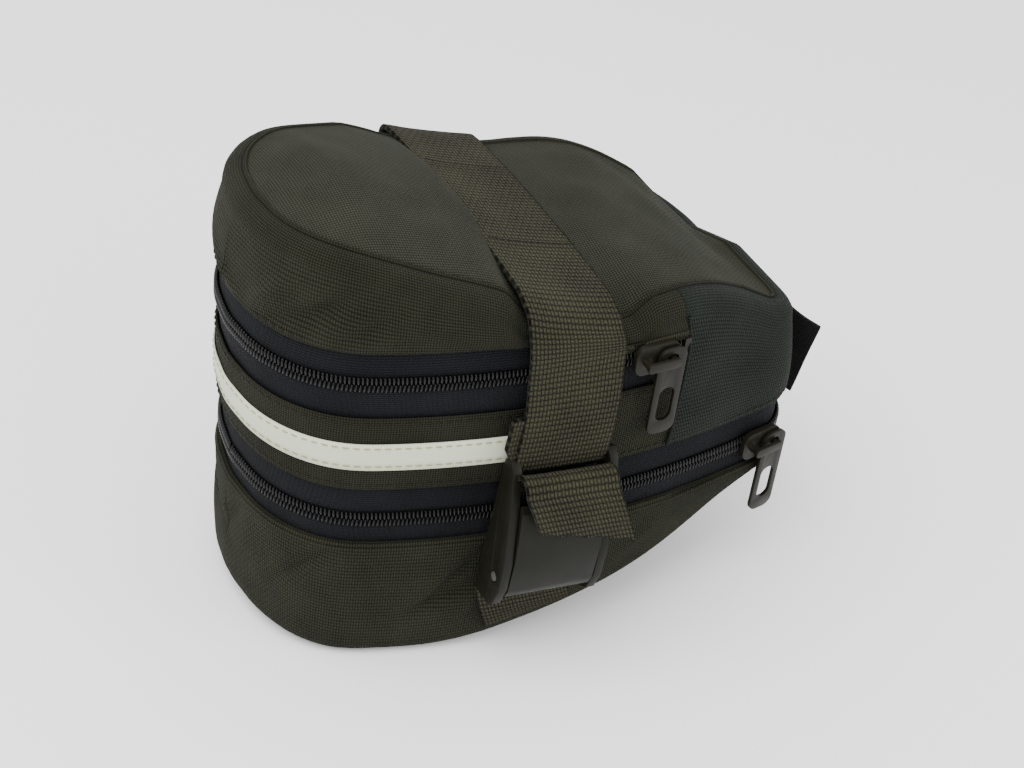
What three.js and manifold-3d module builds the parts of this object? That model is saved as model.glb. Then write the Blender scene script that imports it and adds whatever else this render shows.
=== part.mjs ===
// Bicycle saddle bag, two zips, webbing strap with a cam buckle. Millimetres, +Z up, +X to the seat post,
// -Y the buckle side. The origin lies on the flat underside.
import * as THREE from 'three';
import Module from 'manifold-3d';
import { mergeVertices } from 'three/addons/utils/BufferGeometryUtils.js';

const wasm = await Module();
wasm.setup();

// driving dimensions
const X0 = 40;          // rear end of the bag to the origin
const BELLY = 4;        // the flat underside lies this far below the level that the heights count from
const WALL = 1.6;       // cloth with its backing
const GAP = 0.3;
const Z_LOWER_ZIP = 53;
const Z_UPPER_ZIP = 105.6;
const BAND = [65.6, 93.4];
const STRIPE = [74, 84];
const STRIPE_X = 90;    // the reflective strip ends under the webbing
const TAPE_LOW = 42;
const TAPE_HIGH = 117.3;
const TAPE_HIGH_FRONT = 113;
const STRAP_X = [74.5, 104.5];
const STRAP_T = 1.6;
const LID_X = 71.8;     // the opening lid ends here, just behind the strap
const PANEL_X = 129;    // rear edge of the front panel
const PIN_Y = -66;
const PIN_Z = 36;

const root = new THREE.Group();
const COLOR = {
  body: [0x34332a, 0.9, 0], top: [0x3c3e36, 0.9, 0], front: [0x2d342d, 0.92, 0], tape: [0x23242a, 0.85, 0],
  coil: [0x0c0c0d, 0.3, 0], stripe: [0xc8cab9, 0.6, 0], thread: [0xd9d0b8, 0.8, 0], web: [0x2c2a20, 0.85, 0],
  plastic: [0x2d2d24, 0.45, 0], metal: [0x37362a, 0.4, 0.6], steel: [0x8a8a88, 0.3, 1], hook: [0x17171a, 0.95, 0],
};
function add(name, geo, kind) {
  geo.translate(0, 0, BELLY);
  const [color, roughness, metalness] = COLOR[kind];
  const mesh = new THREE.Mesh(geo, new THREE.MeshStandardMaterial({ color, roughness, metalness }));
  mesh.name = name;
  root.add(mesh);
}

// plan outline, from the middle of the rear to the middle of the front: [radius, heading at the end in degrees]
function planOutline() {
  const arcs = [[53.7, -67.6], [39.8, -17.2], [257.6, 9.8], [900, 11.3], [18.9, 90]];
  const pts = [];
  let x = 0;
  let y = 0;
  let heading = -90;
  for (const [radius, to] of arcs) {
    const turn = ((to - heading) * Math.PI) / 180;
    const length = Math.abs(turn) * radius;
    const n = Math.max(2, Math.ceil(Math.max(length / 12, Math.abs(turn) / 0.17)));
    for (let i = 0; i < n; i += 1) {
      const h = (heading * Math.PI) / 180 + (turn * (i + 0.5)) / n;
      pts.push([x, y, (heading * Math.PI) / 180 + (turn * i) / n]);
      x += (Math.cos(h) * length) / n;
      y += (Math.sin(h) * length) / n;
    }
    heading = to;
  }
  pts.push([x, y, Math.PI / 2]);
  return pts;
}
const HALF = planOutline();
// stations where the height of the top or the bottom changes slope
for (const x of [20, 31, 45, 62, 70, 74.5, 90, 104.5, 112, 128, 131, 144, 148, 155, 165, 178]) {
  const i = HALF.findIndex((q) => q[0] > x);
  const [a, b] = [HALF[i - 1], HALF[i]];
  if (x - a[0] > 0.6 && b[0] - x > 0.6) {
    const t = (x - a[0]) / (b[0] - a[0]);
    const bow = 0.15 * t * (1 - t);
    HALF.splice(i, 0, [x, a[1] + (b[1] - a[1]) * t - bow, a[2] + (b[2] - a[2]) * t]);
  }
}
const FRONT = HALF[HALF.length - 1][0];
const FRONT_Y = HALF[HALF.length - 1][1];

function halfWidth(x) {
  for (let i = 1; i < HALF.length; i += 1) {
    const [xa, ya] = HALF[i - 1];
    const [xb, yb] = HALF[i];
    if (x <= xb) return -(ya + ((yb - ya) * (x - xa)) / Math.max(xb - xa, 1e-6));
  }
  return 0;
}
function headingAt(x) {
  for (let i = 1; i < HALF.length; i += 1) {
    if (x <= HALF[i][0]) {
      const t = (x - HALF[i - 1][0]) / Math.max(HALF[i][0] - HALF[i - 1][0], 1e-6);
      return HALF[i - 1][2] + (HALF[i][2] - HALF[i - 1][2]) * t;
    }
  }
  return Math.PI / 2;
}
const interp = (table) => (x) => {
  if (x <= table[0][0]) return table[0][1];
  for (let i = 1; i < table.length; i += 1) {
    const [xa, za] = table[i - 1];
    const [xb, zb] = table[i];
    if (x <= xb) return za + ((zb - za) * (x - xa)) / (xb - xa);
  }
  return table[table.length - 1][1];
};
const zTop = interp([[0, 150], [20, 149], [31, 146], [45, 141], [62, 135.5], [70, 132], [74.5, 129.5], [90, 125],
  [104.5, 121.5], [112, 121], [131, 121], [144, 117.5], [155, 112], [165, 106], [178, 99], [187, 95]]);
const zBottom = interp([[0, -4], [62, -4], [74.5, -0.6], [104.5, 7], [128, 14.5], [148, 25.5], [165, 35], [187, 38.5]]);
const dome = interp([[0, 2], [25, 4], [68, 3], [72, 2.2], [106, 2.2], [150, 1.5], [187, 1]]);

// points of the near half between two stations, ends included, moved outwards by off
function nearPoints(xa, xb, off) {
  const out = [];
  const put = (x, y, h) => out.push([x + Math.sin(h) * off, y - Math.cos(h) * off]);
  if (xa > 0) put(xa, -halfWidth(xa), headingAt(xa));
  for (const [x, y, h] of HALF) {
    if (x > xa + 0.6 && x < xb - 0.6) put(x, y, h);
  }
  if (xb < FRONT) put(xb, -halfWidth(xb), headingAt(xb));
  return out;
}
const mirror = (pts) => pts.map(([x, y]) => [x, -y]).reverse();

// line followed by a band: 'rear' from the near side round the rear to the far side, 'front' round the front
function bandLine(where, xa, xb, off) {
  if (where === 'near') return nearPoints(xa, xb, off);
  if (where === 'far') return mirror(nearPoints(xa, xb, off)).reverse();
  if (where === 'rear') {
    const near = nearPoints(0, xb, off);
    return [...near.slice().reverse(), [-off, 0], ...mirror(near).reverse()];
  }
  const near = nearPoints(xa, 999, off);
  return [...near, [FRONT + off, 0], ...mirror(near)];
}
function ringLine(off) {
  const near = nearPoints(0, 999, off);
  return [[-off, 0], ...near, [FRONT + off, 0], ...mirror(near)];
}
const toShape = (pts) => new THREE.Shape(pts.map(([x, y]) => new THREE.Vector2(x, y)));

// heights may be numbers or functions of x
const lift = (z) => (typeof z === 'function' ? z : () => z);
function band(name, where, xa, xb, offIn, offOut, low, high, kind) {
  const outer = bandLine(where, xa, xb, offOut);
  const inner = bandLine(where, xa, xb, offIn);
  const last = outer.length - 1;
  const geo = new THREE.BoxGeometry(last, 1, 1, last, 1, 1);
  const flip = where === 'rear' || where === 'far';
  const p = geo.attributes.position;
  for (let k = 0; k < p.count; k += 1) {
    const i = Math.round(p.getX(k) + last / 2);
    const [x, y] = (p.getZ(k) < 0) !== flip ? inner[i] : outer[i];
    p.setXYZ(k, x - X0, y, (p.getY(k) > 0 ? lift(high) : lift(low))(x));
  }
  geo.computeVertexNormals();
  add(name, geo, kind);
}
function ring(name, offIn, offOut, low, high, kind) {
  const outer = ringLine(offOut);
  const inner = ringLine(offIn);
  const n = outer.length;
  const corners = [[1, 0], [2, 0], [2, 1], [1, 1], [1, 0]].map(([r, z]) => new THREE.Vector2(r, z));
  const geo = new THREE.LatheGeometry(corners, n);
  const p = geo.attributes.position;
  for (let i = 0; i <= n; i += 1) {
    for (let j = 0; j < 5; j += 1) {
      const [x, y] = (j === 1 || j === 2 ? outer : inner)[i % n];
      p.setXYZ(i * 5 + j, x - X0, y, (j === 2 || j === 3 ? lift(high) : lift(low))(x));
    }
  }
  geo.computeVertexNormals();
  add(name, geo, kind);
}
// level or domed panel between two stations, following the plan outline
function panel(name, xa, xb, low, high, bulge, inset, kind) {
  const xs = HALF.map((q) => q[0]).filter((x) => x > xa + 0.6 && x < xb - 0.6);
  const line = [xa, ...xs, xb];
  const last = line.length - 1;
  const geo = new THREE.BoxGeometry(last, 1, 2, last, 1, 6);
  const p = geo.attributes.position;
  for (let i = 0; i < p.count; i += 1) {
    const x = line[Math.round(p.getX(i) + last / 2)];
    const side = -p.getZ(i);
    const z = p.getY(i) > 0 ? high(x) : low(x);
    p.setXYZ(i, x - X0, side * (halfWidth(x) - inset), z + bulge(x) * (1 - side * side));
  }
  geo.computeVertexNormals();
  add(name, geo, kind);
}

// lower shell
panel('bottom_panel', 1.4, FRONT - 0.4, (x) => zBottom(x), (x) => zBottom(x) + WALL, () => 0, 0, 'body');
ring('lower_wall', -WALL, 0, (x) => zBottom(x) + WALL + 0.9, TAPE_LOW, 'body');
ring('lower_zip_tape_low', -WALL, -0.4, TAPE_LOW + GAP, Z_LOWER_ZIP - 0.2, 'tape');
ring('lower_zip_coil_low', -0.1, 1.4, Z_LOWER_ZIP - 2.9, Z_LOWER_ZIP - 0.2, 'coil');

// middle section
ring('lower_zip_coil_up', -0.1, 1.4, Z_LOWER_ZIP + 0.2, Z_LOWER_ZIP + 2.9, 'coil');
ring('lower_zip_tape_up', -WALL, -0.4, Z_LOWER_ZIP + 0.2, BAND[0] - GAP, 'tape');
ring('expansion_gusset', -3.2, -2.2, (x) => Math.max(26, zBottom(x) + 4), BAND[0] - 1, 'body');
band('middle_band', 'rear', 0, PANEL_X, -WALL, 0, BAND[0], BAND[1], 'body');
band('reflective_strip', 'rear', 0, STRIPE_X, 0.3, 0.8, STRIPE[0], STRIPE[1], 'stripe');
band('strip_thread_upper', 'rear', 0, STRIPE_X - 1, 1.05, 1.4, STRIPE[1] - 2.3, STRIPE[1] - 1.7, 'thread');
band('strip_thread_lower', 'rear', 0, STRIPE_X - 1, 1.05, 1.4, STRIPE[0] + 1.7, STRIPE[0] + 2.3, 'thread');
band('upper_zip_tape_low', 'rear', 0, PANEL_X, -WALL, -0.4, BAND[1] + GAP, Z_UPPER_ZIP - 0.2, 'tape');
band('upper_zip_coil_low', 'rear', 0, PANEL_X - 1, -0.1, 1.4, Z_UPPER_ZIP - 2.9, Z_UPPER_ZIP - 0.2, 'coil');
band('front_panel', 'front', PANEL_X + GAP, 0, -WALL, 0, BAND[0], (x) => zTop(x) - WALL - 0.9, 'front');
for (const side of ['near', 'far']) {
  const [a, b] = [LID_X + 0.6, PANEL_X];
  band(`upper_zip_tape_top_${side}`, side, a, b, -WALL, -0.4, Z_UPPER_ZIP + 0.2, TAPE_HIGH_FRONT, 'tape');
  band(`upper_zip_coil_top_${side}`, side, a, b - 1, -0.1, 1.4, Z_UPPER_ZIP + 0.2, Z_UPPER_ZIP + 2.9, 'coil');
  band(`lid_wall_${side}`, side, a, b, -WALL, 0, TAPE_HIGH_FRONT + GAP, (x) => zTop(x) - WALL - 0.9, 'body');
}
panel('top_panel_front', LID_X + 0.6, FRONT - 0.4, (x) => zTop(x) - WALL, zTop, dome, 0, 'top');
band('top_binding_front', 'front', STRAP_X[1] + 1, 0, 0.3, 1.5, (x) => zTop(x) - 2.2, (x) => zTop(x) + 0.4, 'body');

// lid
panel('top_panel_rear', 1.4, LID_X, (x) => zTop(x) - WALL, zTop, dome, 0, 'top');
band('lid_wall_rear', 'rear', 0, LID_X, -WALL, 0, TAPE_HIGH + GAP, (x) => zTop(x) - WALL - 0.9, 'body');
band('upper_zip_tape_top', 'rear', 0, LID_X, -WALL, -0.4, Z_UPPER_ZIP + 0.2, TAPE_HIGH, 'tape');
band('upper_zip_coil_top', 'rear', 0, LID_X, -0.1, 1.4, Z_UPPER_ZIP + 0.2, Z_UPPER_ZIP + 2.9, 'coil');
band('top_binding_rear', 'rear', 0, LID_X, 0.3, 1.5, (x) => zTop(x) - 2.2, (x) => zTop(x) + 0.4, 'body');

// webbing: a path in the YZ plane given a thickness, then run across the strap width
// On the near side the strap hangs askew, and the buckle with it: points turn about HANG in the XZ plane.
const HANG = { x: 89.5, z: 92, angle: (5.5 * Math.PI) / 180 };
function askew(geo) {
  const p = geo.attributes.position;
  for (let i = 0; i < p.count; i += 1) {
    if (p.getY(i) > -50) continue;
    const x = p.getX(i) + X0 - HANG.x;
    const z = p.getZ(i) - HANG.z;
    const share = Math.min(1, Math.max(0, (30 - z) / 30), Math.max(0, (z + HANG.z - 4) / 18));
    const a = HANG.angle * share;
    p.setX(i, x * Math.cos(a) + z * Math.sin(a) + HANG.x - X0);
    p.setZ(i, z * Math.cos(a) - x * Math.sin(a) + HANG.z);
  }
  geo.computeVertexNormals();
  return geo;
}
function webbing(name, path, thick, kind, shift, x = STRAP_X) {
  const left = [];
  const right = [];
  for (let i = 0; i < path.length; i += 1) {
    const a = path[Math.max(i - 1, 0)];
    const b = path[Math.min(i + 1, path.length - 1)];
    const n = Math.hypot(b[0] - a[0], b[1] - a[1]);
    const [ny, nz] = [-(b[1] - a[1]) / n, (b[0] - a[0]) / n];
    left.push(path[i]);
    right.push([path[i][0] + ny * thick, path[i][1] + nz * thick]);
  }
  const shape = toShape([...left, ...right.reverse()]);
  const geo = new THREE.ExtrudeGeometry(shape, { depth: x[1] - x[0], bevelEnabled: false, steps: 4 });
  const p = geo.attributes.position;
  for (let i = 0; i < p.count; i += 1) {
    const [y, z, along] = [p.getX(i), p.getY(i), x[0] + p.getZ(i)];
    p.setXYZ(i, along - X0, y, z + shift(along, z));
  }
  add(name, askew(geo), kind);
}
const SIDE = 57.2;
const NEAR = -58.4;
const BAR = { y: -59.6, z: 73, r: 1.2 };
const topShift = (x, z) => (z > 110 ? (zTop(x) - 130) * Math.min(1, (z - 110) / 16) : 0);
const over = [];
for (let y = -46; y <= 46; y += 11.5) over.push([y, 131.3 + 2.2 * (1 - (y / 55) ** 2)]);
const loop = [];
for (let a = 0; a >= -180; a -= 30) {
  const t = (a * Math.PI) / 180;
  loop.push([BAR.y + 1.5 * Math.cos(t), BAR.z + 1.5 * Math.sin(t)]);
}
webbing('top_strap', [[-58.1, 91], ...loop, [-61.1, 90], [-60.2, 97], [NEAR, 102], [NEAR, 122], [NEAR + 1.2, 127],
  [-SIDE + 1.6, 131.2], ...over, [SIDE - 1.6, 131.2], [SIDE - 0.2, 127], [SIDE, 122], [SIDE, 40]],
STRAP_T, 'web', topShift);
webbing('bottom_strap', [[SIDE, 39.6], [SIDE, 5], [SIDE - 2.5, -0.5], [-SIDE + 2.5, -0.5],
  [-SIDE, 5], [-SIDE, 22], [-59.5, 29], [-59.5, 60]], STRAP_T, 'web', (x, z) => (z < 10 ? zBottom(x) : 0),
// a little narrow, so that the slanting cheeks clear it as the bag expands
[STRAP_X[0], STRAP_X[1] - 1.7]);
webbing('strap_tail', [[-61.4, 61], [-61.4, 65.5], [-63.4, 68.2], [-66, 70], [-70, 69.6], [-73, 66.5], [-73.6, 56]],
  STRAP_T, 'web', (x, z) => (z < 60 ? (90 - x) * 0.3 : 0));
webbing('strap_stitch_lines', [[-24, 135.0], [-18, 135.2]], 0.4, 'thread', topShift,
  [STRAP_X[0] + 3, STRAP_X[1] - 3]);

// solids joined into one piece of hardware
function toManifold(geo) {
  const g = geo.clone();
  g.deleteAttribute('normal');
  g.deleteAttribute('uv');
  const m = mergeVertices(g, 1e-5);
  return new wasm.Manifold(new wasm.Mesh({
    numProp: 3,
    vertProperties: new Float32Array(m.attributes.position.array),
    triVerts: new Uint32Array(m.index.array),
  }));
}
function union(geos) {
  const out = geos.map(toManifold).reduce((a, b) => a.add(b)).getMesh();
  const geo = new THREE.BufferGeometry();
  geo.setAttribute('position', new THREE.BufferAttribute(new Float32Array(out.vertProperties), 3));
  geo.setIndex(new THREE.BufferAttribute(new Uint32Array(out.triVerts), 1));
  const flat = geo.toNonIndexed();
  flat.computeVertexNormals();
  return flat;
}
// a YZ profile run along X between two stations; holes are [y, z, r]
function slab(profile, xa, xb, holes = []) {
  const shape = toShape(profile);
  for (const [y, z, r] of holes) {
    const path = new THREE.Path();
    path.absarc(y, z, r, 0, Math.PI * 2, true);
    shape.holes.push(path);
  }
  const geo = new THREE.ExtrudeGeometry(shape, { depth: xb - xa, bevelEnabled: false, curveSegments: 8 });
  const p = geo.attributes.position;
  for (let i = 0; i < p.count; i += 1) p.setXYZ(i, xa + p.getZ(i) - X0, p.getX(i), p.getY(i));
  geo.computeVertexNormals();
  return geo;
}
function box(x, y, z) {
  const geo = new THREE.BoxGeometry(x[1] - x[0], y[1] - y[0], z[1] - z[0]);
  geo.translate((x[0] + x[1]) / 2 - X0, (y[0] + y[1]) / 2, (z[0] + z[1]) / 2);
  return geo;
}
function rodX(xa, xb, y, z, r) {
  const geo = new THREE.CylinderGeometry(r, r, xb - xa, 16);
  geo.rotateZ(Math.PI / 2);
  geo.translate((xa + xb) / 2 - X0, y, z);
  return geo;
}

// cam buckle
const [ba, bb] = [STRAP_X[0] - 0.7, STRAP_X[1] + 0.7];   // between the cheeks
const FIN = [[-57, 25], [-57, 76], [-60, 77.5], [-63, 75], [-66.4, 64], [-70.5, 44], [-71, 34], [-69, 27], [-66, 25]];
const pinHole = [[PIN_Y, PIN_Z, 1.9]];
add('buckle_frame', askew(union([
  slab(FIN, ba - 3, ba, pinHole),
  slab(FIN, bb, bb + 3, pinHole),
  rodX(ba - 1, bb + 1, BAR.y, BAR.z, BAR.r),
  box([ba - 1, bb + 1], [-58.9, -57.1], [56, 68]),
])), 'plastic');
add('buckle_pin', askew(rodX(ba - 2.8, bb + 2.8, PIN_Y, PIN_Z, 1.6)), 'steel');
const LEVER = [[-66, 31.8], [-63.4, 32.6], [-62, 34.2], [-61.8, 36.5], [-63, 41], [-66.8, 46], [-65, 62], [-66.6, 64],
  [-68.6, 62], [-71, 45], [-71, 33], [-69.8, 30]];
add('cam_lever', askew(slab(LEVER, ba + 0.4, bb - 0.4, pinHole)), 'plastic');

// zip sliders with their pull tabs; the tab hangs from the front post of the bridge
const POST = 4.5;
function place(geo, x, z, off) {
  const h = headingAt(x);
  geo.rotateZ(h);
  geo.translate(x - X0 + Math.sin(h) * off, -halfWidth(x) - Math.cos(h) * off, z);
  return geo;
}
function rounded(w, hgt, r, cx = 0, cz = 0) {
  const s = new THREE.Shape();
  s.moveTo(cx - w / 2 + r, cz - hgt / 2);
  for (const [x, z, a] of [[w / 2 - r, -hgt / 2 + r, -90], [w / 2 - r, hgt / 2 - r, 0],
    [-w / 2 + r, hgt / 2 - r, 90], [-w / 2 + r, -hgt / 2 + r, 180]]) {
    const t = (a * Math.PI) / 180;
    s.absarc(cx + x, cz + z, r, t, t + Math.PI / 2, false);
  }
  return s;
}
// a flat XZ shape given a thickness outwards from the wall
function plate(shape, from, to) {
  const geo = new THREE.ExtrudeGeometry(shape, { depth: to - from, bevelEnabled: false, curveSegments: 4 });
  geo.rotateX(Math.PI / 2);
  geo.translate(0, -from, 0);
  return geo;
}
function sliderSet(name, x, z, reach) {
  const post = (cx) => plate(rounded(2.4, 2.4, 1, cx, 0), 1.5, 5.5);
  add(`${name}_slider`, place(union([
    plate(rounded(16, 10.5, 3.5), 0, 2), post(POST), post(-POST), plate(rounded(2 * POST + 3, 3, 1.2), 5, 6.4),
  ]), x, z, reach), 'metal');
  const tab = rounded(10, 33, 3.4, POST, -12.5);
  const small = new THREE.Path();
  small.absarc(POST, 0, 2.1, 0, Math.PI * 2, true);
  tab.holes.push(small, new THREE.Path(rounded(5.6, 13, 2.7, POST, -17.5).getPoints(4).reverse()));
  add(`${name}_pull_tab`, place(plate(tab, 2.5, 3.7), x, z, reach), 'metal');
}
sliderSet('upper', 117.5, Z_UPPER_ZIP, 1.7);
sliderSet('lower', 170.5, Z_LOWER_ZIP, 1.7);
for (const side of ['near', 'far']) {
  const [low, high] = [Z_UPPER_ZIP - 3.4, Z_UPPER_ZIP + 3.4];
  band(`upper_zip_stop_${side}`, side, PANEL_X - 0.7, PANEL_X + 1.6, 0.3, 1.9, low, high, 'coil');
}

// seat-post strap: anchor patch on the front face and two hook-and-loop halves
const POST_Z = [58, 87];
add('seatpost_anchor', box([FRONT + 0.3, FRONT + 2.1], [-16, 16], POST_Z), 'hook');
function flap(name, side, lean, kind) {
  const geo = new THREE.BoxGeometry(19, 1.8, POST_Z[1] - POST_Z[0]);
  geo.translate(9.5, 0, 0);
  geo.rotateZ((side * lean * Math.PI) / 180);
  geo.translate(FRONT + 3.4 - X0, side * 17, (POST_Z[0] + POST_Z[1]) / 2);
  add(name, geo, kind);
}
flap('seatpost_flap_near', -1, 55, 'hook');
flap('seatpost_flap_far', 1, 20, 'hook');

export default root;
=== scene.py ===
"""Bicycle saddle bag: cloth shells, webbing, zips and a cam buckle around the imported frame. Metres, +X to the
seat post, -Y the buckle side, +Z up."""
import math

import bpy
import numpy as np
from mathutils import Matrix, Vector


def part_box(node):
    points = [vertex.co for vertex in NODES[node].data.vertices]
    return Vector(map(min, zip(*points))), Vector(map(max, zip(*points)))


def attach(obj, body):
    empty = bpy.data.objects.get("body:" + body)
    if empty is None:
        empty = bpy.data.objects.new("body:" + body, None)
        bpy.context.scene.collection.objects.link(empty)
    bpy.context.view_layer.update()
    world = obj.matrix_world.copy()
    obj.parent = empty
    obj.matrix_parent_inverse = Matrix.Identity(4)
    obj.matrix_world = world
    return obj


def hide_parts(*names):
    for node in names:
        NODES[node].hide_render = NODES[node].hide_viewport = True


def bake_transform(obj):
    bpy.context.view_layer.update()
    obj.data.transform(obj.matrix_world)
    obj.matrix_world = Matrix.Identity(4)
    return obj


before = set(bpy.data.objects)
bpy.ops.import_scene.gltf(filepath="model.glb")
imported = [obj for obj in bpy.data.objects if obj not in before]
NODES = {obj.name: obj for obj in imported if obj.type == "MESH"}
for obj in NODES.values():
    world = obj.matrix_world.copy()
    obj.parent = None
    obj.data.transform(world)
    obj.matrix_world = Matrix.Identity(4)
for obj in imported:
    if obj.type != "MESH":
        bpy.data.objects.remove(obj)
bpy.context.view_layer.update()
MM = 0.001

# heights read from the frame
Z_LOW_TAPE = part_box("lower_zip_tape_low")[0].z
Z_LOW_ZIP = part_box("lower_zip_coil_up")[0].z - 0.2 * MM
Z_BAND = (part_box("middle_band")[0].z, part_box("middle_band")[1].z)
Z_STRIPE = (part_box("reflective_strip")[0].z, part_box("reflective_strip")[1].z)
Z_HIGH_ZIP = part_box("upper_zip_coil_top")[0].z - 0.2 * MM
Z_HIGH_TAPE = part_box("upper_zip_tape_top")[1].z
X_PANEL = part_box("front_panel")[0].x
STRAP = (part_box("top_strap")[0].x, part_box("top_strap")[1].x)
X_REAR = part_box("lower_wall")[0].x
X_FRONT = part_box("lower_wall")[1].x
LIFT = Z_LOW_ZIP - 0.053       # the flat foot stands this far below the level that the paths are counted from
BAR_Y, BAR_Z = -0.0596, 0.073 + LIFT        # the buckle's top bar


# ---------------------------------------------------------------- outline of the bag in plan
def points_of(node):
    return np.array([v.co for v in NODES[node].data.vertices], float).reshape(-1, 3)


def hull(points):
    """Convex hull of plan points, anticlockwise."""
    pts = sorted({(round(float(x), 6), round(float(y), 6)) for x, y in points})
    sides = []
    for run in (pts, pts[::-1]):
        side = []
        for p in run:
            while len(side) > 1:
                (ax, ay), (bx, by) = side[-2:]
                if (bx - ax) * (p[1] - ay) - (by - ay) * (p[0] - ax) > 0:
                    break
                side.pop()
            side.append(p)
        sides += side[:-1]
    return np.array(sides)


def closed_curve(points, count, smooth):
    """Evenly spaced, slightly smoothed points on a closed line."""
    loop = np.vstack([points, points[:1]])
    length = np.r_[0, np.cumsum(np.hypot(*np.diff(loop, axis=0).T))]
    at = np.arange(count) * length[-1] / count
    out = np.c_[np.interp(at, length, loop[:, 0]), np.interp(at, length, loop[:, 1])]
    for _ in range(smooth):
        out = 0.5 * out + 0.25 * (np.roll(out, 1, 0) + np.roll(out, -1, 0))
    return out


COUNT = 560
ring = closed_curve(hull(points_of("lower_wall")[:, :2]), COUNT, 20)
ring = np.roll(ring, -int(np.argmin(ring[:, 0] + 0.2 * np.abs(ring[:, 1]))), 0)
step = np.roll(ring, -1, 0) - np.roll(ring, 1, 0)
tangent = step / np.hypot(*step.T)[:, None]
normal = np.c_[tangent[:, 1], -tangent[:, 0]]
PERIMETER = float(np.hypot(*(np.roll(ring, -1, 0) - ring).T).sum())
arc = np.arange(COUNT) * PERIMETER / COUNT


def edge_table(nodes, top):
    """Height of a panel's rim against x, from its outermost vertices."""
    table = {}
    for co in np.vstack([points_of(n) for n in nodes]):
        table.setdefault(round(float(co[0]), 4), []).append(co)
    xs = sorted(table)
    zs = []
    for x in xs:
        group = np.array(table[x])
        rim = group[np.abs(group[:, 1]) > np.abs(group[:, 1]).max() - 1e-4]
        zs.append(rim[:, 2].max() if top else rim[:, 2].min())
    return np.array(xs), np.array(zs)


TOP_X, TOP_Z = edge_table(["top_panel_rear", "top_panel_front"], True)
BOT_X, BOT_Z = edge_table(["bottom_panel"], False)


def soften(xs, zs, x, width=7 * MM):
    """A table read with a short moving average, so that it has no corners."""
    return np.mean([np.interp(np.asarray(x) + d, xs, zs) for d in np.linspace(-width, width, 9)], 0)


def z_top(x):
    return soften(TOP_X, TOP_Z, x)


def z_bottom(x):
    return soften(BOT_X, BOT_Z, x, 12 * MM)


def ripple(s, z, size, seed):
    """Low, irregular waves of cloth."""
    rng = np.random.default_rng(seed)
    out = np.zeros(np.broadcast(s, z).shape)
    for k in range(9):
        fs, fz = rng.uniform(30, 170), rng.uniform(-160, 160)
        out += np.sin(fs * s + fz * z + rng.uniform(0, 6.28)) / (1 + 0.25 * k)
    return out * size / 3


def creases(s, z, count, heights, depth, seed):
    """Short slanting folds scattered along a wall: s is the place along the outline, z the height."""
    rng = np.random.default_rng(seed)
    out = np.zeros(np.broadcast(s, z).shape)
    for _ in range(count):
        s0, z0 = rng.uniform(0, PERIMETER), rng.uniform(*heights)
        a, reach, width = rng.uniform(0.15, 0.95), rng.uniform(9, 22) * MM, rng.uniform(2.2, 4.0) * MM
        a *= 1 if s0 < PERIMETER / 2 else -1
        ds, dz = (s - s0 + PERIMETER / 2) % PERIMETER - PERIMETER / 2, z - z0
        along, off = ds * math.cos(a) + dz * math.sin(a), dz * math.cos(a) - ds * math.sin(a)
        out += rng.uniform(-1, 1) * np.exp(-(along / reach) ** 2 - (off / width) ** 2)
    return out * depth


# ---------------------------------------------------------------- meshes
def mesh_object(name, verts, faces, uvs=None, smooth=True):
    mesh = bpy.data.meshes.new(name)
    mesh.from_pydata([tuple(v) for v in verts], [], [tuple(f) for f in faces])
    if uvs is not None:
        layer = mesh.uv_layers.new(name="UVMap")
        index = np.empty(len(mesh.loops), int)
        mesh.loops.foreach_get("vertex_index", index)
        layer.data.foreach_set("uv", np.asarray(uvs, float)[index].ravel())
    mesh.polygons.foreach_set("use_smooth", [smooth] * len(mesh.polygons))
    mesh.update()
    obj = bpy.data.objects.new(name, mesh)
    bpy.context.collection.objects.link(obj)
    return obj


def grid(name, rows, closed, material, thickness=0.0, uv=None, outwards=False):
    """A sheet through rows of points, shape (rows, columns, 3); its UV is in metres along and across."""
    rows = np.asarray(rows, float)
    if closed:
        rows = np.concatenate([rows, rows[:, :1]], 1)
    r, c, _ = rows.shape
    along = np.r_[0, np.cumsum(np.linalg.norm(np.diff(rows.mean(0), axis=0), axis=1))]
    across = np.r_[0, np.cumsum(np.linalg.norm(np.diff(rows, axis=0), axis=2).mean(1))]
    uvs = np.stack(np.meshgrid(along, across), -1) if uv is None else uv(rows)
    faces = []
    for j in range(r - 1):
        for i in range(c - 1):
            a = j * c + i
            quad = (a, a + 1, a + c + 1, a + c)
            faces.append(quad[::-1] if outwards else quad)
    obj = mesh_object(name, rows.reshape(-1, 3), faces, uvs.reshape(-1, 2))
    if closed:
        weld = obj.modifiers.new("weld", "WELD")
        weld.merge_threshold = 1e-6
    if thickness:
        solid = obj.modifiers.new("cloth", "SOLIDIFY")
        solid.thickness = thickness
        solid.offset = -1
    obj.data.materials.append(material)
    return obj


LEAN_SLOPE, LEAN_MOST = 0.065, 4.2 * MM


def lean(ids, z):
    """How far the cloth stands in from the outline: the rear face leans in towards its foot."""
    rear = np.clip(-normal[ids, 0], 0, 1) ** 2
    return -rear * np.clip((Z_HIGH_ZIP - np.asarray(z)) * LEAN_SLOPE, 0, LEAN_MOST)


def wall(name, ids, profile, material, thickness=1.2 * MM, closed=False):
    """A band that follows the plan outline. profile(ids) gives (offset, height) arrays, one pair a row."""
    rows = []
    for off, z in profile(ids):
        off = np.broadcast_to(off, ids.shape) + lean(ids, z)
        xy = ring[ids] + normal[ids] * off[:, None]
        rows.append(np.c_[xy, np.broadcast_to(z, ids.shape)])
    return grid(name, rows, closed, material, thickness)


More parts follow.
